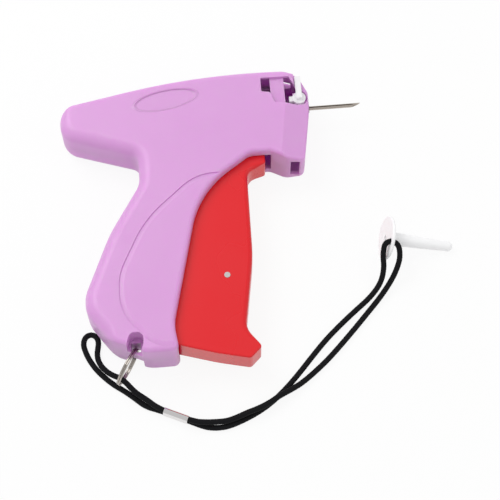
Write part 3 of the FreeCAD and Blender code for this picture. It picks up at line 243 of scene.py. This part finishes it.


# ---------------------------------------------------------- return spring
# Compression spring of 0.7 mm music wire round the push rod, its first and last turn closed. The
# real one shortens towards the guide rib as the slider comes forward; this coil is built at one
# length.

def tube_mesh(name, centres, radius, sides, ripple=None):
    """Round tube: for each centre, a circle of `sides` points in the plane square to the path,
    turned from one centre to the next with as little twist as can be; ripple(s, a) adds to the
    radius at length s and angle a round the tube. Each end is closed with a low cone."""
    cone_height = 0.3 * radius
    centres = np.asarray(centres, float)
    tangents = np.gradient(centres, axis=0)
    tangents /= np.linalg.norm(tangents, axis=1)[:, None]
    side = np.cross(tangents[0], (0.0, 0.0, 1.0))
    if np.linalg.norm(side) < 1e-6:
        side = np.cross(tangents[0], (1.0, 0.0, 0.0))
    sides_along = np.empty_like(centres)
    for i, tangent in enumerate(tangents):
        side = side - tangent * (side @ tangent)
        side /= np.linalg.norm(side)
        sides_along[i] = side
    ups = np.cross(tangents, sides_along)
    steps = np.linalg.norm(np.diff(centres, axis=0), axis=1)
    lengths = np.concatenate([[0.0], np.cumsum(steps)])
    angles = np.linspace(0.0, 2 * math.pi, sides, endpoint=False)
    grid_s, grid_a = np.meshgrid(lengths, angles, indexing="ij")
    radii = np.full_like(grid_s, radius)
    if ripple is not None:
        radii = radii + ripple(grid_s, grid_a)
    ring = (sides_along[:, None, :] * np.cos(grid_a)[..., None]
            + ups[:, None, :] * np.sin(grid_a)[..., None])
    points = (centres[:, None, :] + ring * radii[..., None]).reshape(-1, 3)
    rows = len(centres)
    i, j = np.meshgrid(np.arange(rows - 1), np.arange(sides), indexing="ij")
    nxt = (j + 1) % sides
    this, following = i * sides, (i + 1) * sides
    quads = np.stack([this + j, this + nxt, following + nxt, following + j], -1)
    faces = quads.reshape(-1, 4).tolist()
    points = np.vstack([points, centres[0] - tangents[0] * cone_height,
                        centres[-1] + tangents[-1] * cone_height])
    first, last = len(points) - 2, len(points) - 1
    base = (rows - 1) * sides
    faces += [[first, (k + 1) % sides, k] for k in range(sides)]
    faces += [[last, base + k, base + (k + 1) % sides] for k in range(sides)]
    mesh = bpy.data.meshes.new(name)
    mesh.from_pydata(points.tolist(), [], faces)
    mesh.update()
    mesh.shade_smooth()
    u_map = mesh.uv_layers.new(name="along")
    corner_vertex = np.empty(len(mesh.loops), int)
    mesh.loops.foreach_get("vertex_index", corner_vertex)
    flat_s = np.concatenate([grid_s.ravel(), [0.0, lengths[-1]]])
    flat_a = np.concatenate([grid_a.ravel(), [0.0, 0.0]]) / (2 * math.pi)
    u, v = flat_s[corner_vertex], flat_a[corner_vertex]
    loop_start = np.empty(len(mesh.polygons), int)
    mesh.polygons.foreach_get("loop_start", loop_start)
    wide = np.maximum.reduceat(v, loop_start) - np.minimum.reduceat(v, loop_start) > 0.5
    counts = np.diff(np.append(loop_start, len(v)))
    wraps = np.repeat(wide, counts)
    v = np.where(wraps & (v < 0.25), v + 1.0, v)
    u_map.data.foreach_set("uv", np.stack([u, v], 1).ravel())
    made = bpy.data.objects.new(name, mesh)
    bpy.context.scene.collection.objects.link(made)
    return made


spring_low, spring_high = (np.array(c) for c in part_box("return_spring"))
spring_middle = (spring_low + spring_high) / 2
spring_wire = 0.35 * MM
spring_turns = 12
closed_pitch = 2.1 * spring_wire
coil_radius = (spring_high[1] - spring_low[1]) / 2 - spring_wire
points_a_turn = 24
coil_turn = np.linspace(0.0, spring_turns, spring_turns * points_a_turn + 1)
coil_x = np.interp(coil_turn, [0.0, 1.0, spring_turns - 1.0, spring_turns],
                   [spring_low[0] + spring_wire, spring_low[0] + spring_wire + closed_pitch,
                    spring_high[0] - spring_wire - closed_pitch, spring_high[0] - spring_wire])
coil_points = np.stack([coil_x, spring_middle[1] + coil_radius * np.cos(2 * math.pi * coil_turn),
                        spring_middle[2] + coil_radius * np.sin(2 * math.pi * coil_turn)], 1)
coil_spring = tube_mesh("coil_spring", coil_points, spring_wire, 10)
coil_spring.data.materials.append(spring_steel)
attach(coil_spring, "housing")
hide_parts("return_spring")
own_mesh(coil_spring)

# ---------------------------------------------------------- split ring
# Spring-steel split ring: two flat turns of wire pressed together, with both ends squared off.
ring_low, ring_high = (np.array(c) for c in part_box("strap_ring"))
ring_middle = (ring_low + ring_high) / 2
ring_wire = 0.5 * MM
ring_radius = 9.6 * MM
heading, lean = math.radians(-121.5), math.radians(6.0)
along = np.array([math.cos(heading), math.sin(heading), 0.0])
across = np.array([-along[1], along[0], 0.0])
rise = np.array([0.0, 0.0, 1.0]) * math.cos(lean) + across * math.sin(lean)
axle = across * math.cos(lean) - np.array([0.0, 0.0, 1.0]) * math.sin(lean)
ring_turns, crossing_starts, crossing_takes = 2 * 0.985, 0.9, 0.17
turn = np.linspace(0.0, 2 * math.pi * ring_turns, 180)
shift = np.clip((turn / (2 * math.pi) - crossing_starts) / crossing_takes, 0.0, 1.0)
shift = shift * shift * (3 - 2 * shift)
ring_points = (ring_middle + np.outer(np.cos(turn), along) * ring_radius
               + np.outer(np.sin(turn), rise) * ring_radius
               + np.outer((shift - 0.5) * 2.04 * ring_wire, axle))
split_ring = tube_mesh("split_ring", ring_points, ring_wire, 12)
ring_steel = brushed_metal("ring_steel", srgb(178, 171, 164), 0.14, (1.0, 1.0, 1.0), 0.000005)
split_ring.data.materials.append(ring_steel)
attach(split_ring, "housing")
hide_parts("strap_ring")

# ---------------------------------------------------------- ferrule
# Bright metal tube crimped round the four ends of cord, so both sides are pinched in half-way up.

def crimped_tube(name, middle, heading, length):
    """Tube whose outline is two half circles joined by straight sides: y = c cos t, z = c sin t
    plus the straight half-height times 3 sin t held between -1 and 1. The sides are pinched by a
    bell curve of the height, exp(-(z / pinch height)^2), which fades in from each end. Outer and
    inner skin are one wall apart and joined at the ends."""
    cap, straight, wall = 1.75 * MM, 1.4 * MM, 0.4 * MM
    pinch_share, pinch_height, pinch_fade = 0.36, 0.8 * MM, 1.5 * MM
    around, stations = 72, 33
    t = np.linspace(0.0, 2 * math.pi, around, endpoint=False)
    s = np.linspace(0.0, length, stations)
    grid_s, grid_t = np.meshgrid(s, t, indexing="ij")
    fade = np.clip(np.minimum(grid_s, length - grid_s) / pinch_fade, 0.0, 1.0)
    skins = []
    for radius in (cap, cap - wall):
        z = radius * np.sin(grid_t) + straight * np.clip(3 * np.sin(grid_t), -1.0, 1.0)
        pinch = 1 - pinch_share * fade * np.exp(-(z / pinch_height) ** 2)
        y = radius * np.cos(grid_t) * pinch
        skins.append(np.stack([grid_s - length / 2, y, z], -1).reshape(-1, 3))
    points = np.vstack(skins)
    forward = np.array([math.cos(heading), math.sin(heading), 0.0])
    aside = np.array([-forward[1], forward[0], 0.0])
    placed = (np.outer(points[:, 0], forward) + np.outer(points[:, 1], aside)
              + np.outer(points[:, 2], (0.0, 0.0, 1.0)) + np.asarray(middle))
    i, j = np.meshgrid(np.arange(stations - 1), np.arange(around), indexing="ij")
    nxt = (j + 1) % around
    inner = stations * around
    this, following = i * around, (i + 1) * around
    outer_quads = np.stack([this + j, following + j, following + nxt, this + nxt], -1)
    k = np.arange(around)
    after = (k + 1) % around
    last = (stations - 1) * around
    first_rim = np.stack([k, after, inner + after, inner + k], -1)
    last_rim = np.stack([last + k, inner + last + k, inner + last + after, last + after], -1)
    faces = np.vstack([outer_quads.reshape(-1, 4), outer_quads.reshape(-1, 4)[:, ::-1] + inner,
                       first_rim, last_rim])
    mesh = bpy.data.meshes.new(name)
    mesh.from_pydata(placed.tolist(), [], faces.tolist())
    mesh.update()
    mesh.shade_smooth()
    mesh.set_sharp_from_angle(angle=math.radians(50.0))
    made = bpy.data.objects.new(name, mesh)
    bpy.context.scene.collection.objects.link(made)
    return made


crimped = brushed_metal("crimped_metal", srgb(226, 224, 224), 0.11, (1.0, 1.0, 1.0), 0.000004)
ferrule_low, ferrule_high = (np.array(c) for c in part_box("strap_ferrule"))
FERRULE_HEADING = math.radians(-25.35)
FERRULE_LENGTH = 12.4 * MM
crimped_ferrule = crimped_tube("crimped_ferrule", (ferrule_low + ferrule_high) / 2,
                               FERRULE_HEADING, FERRULE_LENGTH)
crimped_ferrule.data.materials.append(crimped)
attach(crimped_ferrule, "housing")
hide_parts("strap_ferrule")

# ---------------------------------------------------------- strap cord
# Black 2.8 mm braided polyester cord, limp. One loop links the ring, the longer one the guard;
# all four strands go through the ferrule.
CORD_RADIUS = 1.42 * MM
SHORT_LOOP = [gun_point(*p) for p in (
    (-82.3, -156.58, 4.5), (-87.8, -153.97, 4.5), (-93.2, -149, 4.4), (-98.7, -144.9, 4.7),
    (-104, -138.1, 5.8), (-110.1, -134.8, 4.6), (-113.9, -130.6, 3.3), (-115.8, -126.6, 2.3),
    (-116.3, -122.9, 1.6), (-115.8, -119.7, 1.5), (-115.3, -116.7, 1.5), (-116, -113.9, 1.5),
    (-118.2, -112.2, 1.5), (-120.8, -112.6, 1.5), (-122.5, -114.7, 1.5), (-122.8, -118, 1.5),
    (-121.8, -121.4, 1.5), (-120.3, -125.3, 1.5), (-116.5, -131.6, 1.5), (-109.6, -138.7, 1.5),
    (-103.8, -142.8, 1.5), (-99, -146.9, 1.5), (-93.9, -151.6, 1.5), (-87.8, -153.97, 1.8),
    (-82.3, -156.58, 1.8))]
LONG_LOOP = [gun_point(*p) for p in (
    (-76.5, -159.32, 4.5), (-71, -161.93, 4.5), (-65.7, -162.8, 4.4), (-60.3, -162.9, 3.9),
    (-55.3, -162.8, 3.6), (-50.3, -161.5, 3.9), (-45.1, -159.7, 4.6), (-39.9, -158.2, 4.7),
    (-33.9, -155.7, 4.7), (-28.7, -152.4, 4.4), (-22, -149, 2.9), (-16.2, -145.5, 1.7),
    (-6.6, -138, 1.5), (0.4, -131.6, 1.5), (10.4, -121.5, 1.5), (18.4, -113, 1.5),
    (26.1, -104.9, 1.8), (32, -98, 4.1), (35.5, -93, 8.1), (37.6, -88.2, 12.8),
    (36.97, -82.1, 16.8), (30.44, -81.39, 18.55), (28.7, -86.6, 15.2), (29.2, -92.4, 9.4),
    (27.1, -98.3, 4.4), (21.2, -104.4, 1.7), (13.3, -110.5, 1.5), (5.4, -117, 1.5),
    (-3.2, -124.7, 1.5), (-11.2, -133.3, 1.5), (-18, -140.9, 1.5), (-24.4, -147.5, 1.5),
    (-32.2, -154.3, 1.5), (-39.7, -159, 1.5), (-47.5, -162.5, 1.5), (-54.5, -164.9, 1.5),
    (-60.3, -165.3, 1.5), (-65.6, -164.4, 1.5), (-71, -161.93, 1.8), (-76.5, -159.32, 1.8))]


def smooth_path(name, route, spacing):
    """Evenly spaced points of the smooth spline whose control points are the route."""
    curve = bpy.data.curves.new(name + "_line", "CURVE")
    curve.dimensions = "3D"
    curve.resolution_u = 24
    spline = curve.splines.new("NURBS")
    spline.points.add(len(route) - 1)
    spline.points.foreach_set("co", np.hstack([np.array(route), np.ones((len(route), 1))]).ravel())
    spline.order_u = 3
    spline.use_endpoint_u = True
    line = bpy.data.objects.new(name + "_line", curve)
    sampled = bpy.data.meshes.new_from_object(line)
    points = np.empty(len(sampled.vertices) * 3)
    sampled.vertices.foreach_get("co", points)
    points = points.reshape(-1, 3)
    bpy.data.objects.remove(line)
    bpy.data.meshes.remove(sampled)
    lengths = np.concatenate([[0.0], np.cumsum(np.linalg.norm(np.diff(points, axis=0), axis=1))])
    wanted = np.linspace(0.0, lengths[-1], int(lengths[-1] / spacing) + 1)
    even = np.stack([np.interp(wanted, lengths, points[:, k]) for k in range(3)], 1)
    return even, float(lengths[-1])


def braid(total):
    """Round braid of a cord of that length: eight strands wind each way and pass over and under;
    each stands proud where it is on top, as the larger of two crossed rounded waves. Both ends are
    squeezed where the ferrule holds them."""
    pitch, half_strands = 9.0 * MM, 4
    strand_height, mean_height = 0.16 * MM, 0.85
    squeeze, held_length = 0.12 * MM, 4.0 * MM

    def ripple(s, a):
        left = half_strands * (a + 2 * math.pi * s / pitch)
        right = half_strands * (a - 2 * math.pi * s / pitch)
        weave = np.sin(left) * np.sin(right)
        ridges = np.maximum(np.cos(left) ** 2 * (weave > 0), np.cos(right) ** 2 * (weave <= 0))
        inside = np.clip(1.5 - np.minimum(s, total - s) / held_length, 0.0, 1.0)
        return (ridges - mean_height) * strand_height * (1 - inside) - squeeze * inside
    return ripple


def cord_material():
    """Black polyester braid: each strand's fine threads run slantwise; dull with a thin sheen."""
    material, tree, shader = new_material("black_braid")
    link = tree.links.new
    coords = node(tree, "ShaderNodeUVMap")
    coords.uv_map = "along"
    scale = node(tree, "ShaderNodeMapping")
    scale.inputs["Scale"].default_value = (1000.0, 12.0, 1.0)
    link(coords.outputs["UV"], scale.inputs["Vector"])
    threads = node(tree, "ShaderNodeTexNoise", Scale=2.0, Detail=3.0, Roughness=0.6)
    link(scale.outputs["Vector"], threads.inputs["Vector"])
    tone = node(tree, "ShaderNodeMix", data_type="RGBA")
    tone.inputs[6].default_value = srgb(6, 6, 8)
    tone.inputs[7].default_value = srgb(19, 19, 23)
    link(threads.outputs["Fac"], tone.inputs[0])
    link(tone.outputs[2], shader.inputs["Base Color"])
    bump = node(tree, "ShaderNodeBump", Strength=0.6, Distance=0.00005)
    link(threads.outputs["Fac"], bump.inputs["Height"])
    link(bump.outputs["Normal"], shader.inputs["Normal"])
    shader.inputs["Roughness"].default_value = 0.85
    shader.inputs["Specular IOR Level"].default_value = 0.22
    shader.inputs["Sheen Weight"].default_value = 0.06
    shader.inputs["Sheen Roughness"].default_value = 0.4
    return material


black_braid = cord_material()
PATH_STEP = 0.3 * MM
CORD_SIDES = 24
held_pieces = [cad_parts["needle_guard"], crimped_ferrule]
for cord_name, route, node_name, on_it in (
        ("short_loop_cord", SHORT_LOOP, "strap_short_loop", []),
        ("long_loop_cord", LONG_LOOP, "strap_long_loop", held_pieces)):
    path, true_length = smooth_path(cord_name, route, PATH_STEP)
    loop = tube_mesh(cord_name, path, CORD_RADIUS, CORD_SIDES, ripple=braid(true_length))
    loop.data.materials.append(black_braid)
    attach(loop, "housing")
    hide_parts(node_name)

# ---------------------------------------------------------- needle guard
# Soft translucent polyethylene cap that covers the needle, moulded with a finger disc and an eye.
guard_plastic, guard_tree, guard_shader = new_material("guard_polyethylene")
guard_shader.inputs["Base Color"].default_value = srgb(254, 254, 255)
guard_shader.inputs["Roughness"].default_value = 0.4
guard_shader.inputs["Subsurface Weight"].default_value = 0.15
guard_shader.inputs["Subsurface Radius"].default_value = (1.0, 1.0, 1.0)
guard_shader.inputs["Subsurface Scale"].default_value = 0.001
guard_shader.inputs["IOR"].default_value = 1.5
dress(["needle_guard"], guard_plastic)

# ---------------------------------------------------------- table, light and camera
# Seamless white table, two soft boxes and a pale sky that the camera sees as white.
floor_mesh = bpy.data.meshes.new("table")
reach = 3.0
camera_share = 0.9
sky_strength = 0.68
floor_corners = [(-reach, -reach, 0), (reach, -reach, 0), (reach, reach, 0), (-reach, reach, 0)]
floor_mesh.from_pydata(floor_corners, [], [(0, 1, 2, 3)])
table = bpy.data.objects.new("table", floor_mesh)
bpy.context.scene.collection.objects.link(table)
white_table, table_tree, table_shader = new_material("white_table")
table_shader.inputs["Base Color"].default_value = (0.9, 0.9, 0.9, 1.0)
table_shader.inputs["Roughness"].default_value = 0.8
ray = node(table_tree, "ShaderNodeLightPath")
glow = node(table_tree, "ShaderNodeEmission", Strength=1.0)
glow.inputs["Color"].default_value = (1.0, 1.0, 1.0, 1.0)
mixer = node(table_tree, "ShaderNodeMixShader")
share = node(table_tree, "ShaderNodeMath", operation="MULTIPLY")
share.inputs[1].default_value = camera_share
either = node(table_tree, "ShaderNodeMath", operation="MAXIMUM")
any_ray = node(table_tree, "ShaderNodeMath", operation="MAXIMUM")
output = next(n for n in table_tree.nodes if n.type == "OUTPUT_MATERIAL")
for source, socket, target, place in (
        (ray, "Is Camera Ray", share, 0), (ray, "Is Glossy Ray", either, 0),
        (ray, "Is Transmission Ray", either, 1), (share, "Value", any_ray, 0),
        (either, "Value", any_ray, 1), (any_ray, "Value", mixer, 0),
        (table_shader, "BSDF", mixer, 1), (glow, "Emission", mixer, 2),
        (mixer, "Shader", output, 0)):
    table_tree.links.new(source.outputs[socket], target.inputs[place])
floor_mesh.materials.append(white_table)

world = bpy.data.worlds.new("sky")
bpy.context.scene.world = world
world.use_nodes = True
sky = world.node_tree.nodes["Background"]
sky.inputs["Color"].default_value = (1.0, 1.0, 1.0, 1.0)
seen = node(world.node_tree, "ShaderNodeLightPath")
sky_level = node(world.node_tree, "ShaderNodeMath", operation="MAXIMUM")
sky_level.inputs[1].default_value = sky_strength
world.node_tree.links.new(seen.outputs["Is Camera Ray"], sky_level.inputs[0])
world.node_tree.links.new(sky_level.outputs["Value"], sky.inputs["Strength"])


def soft_box(name, place, target, size_m, watts):
    """Square area lamp that faces a target."""
    light = bpy.data.lights.new(name, "AREA")
    light.shape = "SQUARE"
    light.size = size_m
    light.energy = watts
    lamp = bpy.data.objects.new(name, light)
    lamp.location = place
    lamp.rotation_euler = (Vector(target) - Vector(place)).to_track_quat("-Z", "Y").to_euler()
    bpy.context.scene.collection.objects.link(lamp)


soft_box("key", (-0.5, 0.45, 0.9), (0, 0, 0), 0.6, 5.1)
soft_box("fill", (0.7, -0.3, 0.8), (0, 0, 0), 0.7, 1.0)

camera_data = bpy.data.cameras.new("camera")
camera_data.sensor_width = 36.0
camera_data.lens = 100.8
camera_data.clip_start = 0.01
camera = bpy.data.objects.new("camera", camera_data)
camera.location = (-0.011085, -0.301738, 0.652482)
aim = Vector((0.013235, -0.018063, 0.013)) - camera.location
camera.rotation_euler = aim.to_track_quat("-Z", "Y").to_euler()
bpy.context.scene.collection.objects.link(camera)
bpy.context.scene.camera = camera
bpy.context.scene.view_settings.view_transform = "Standard"
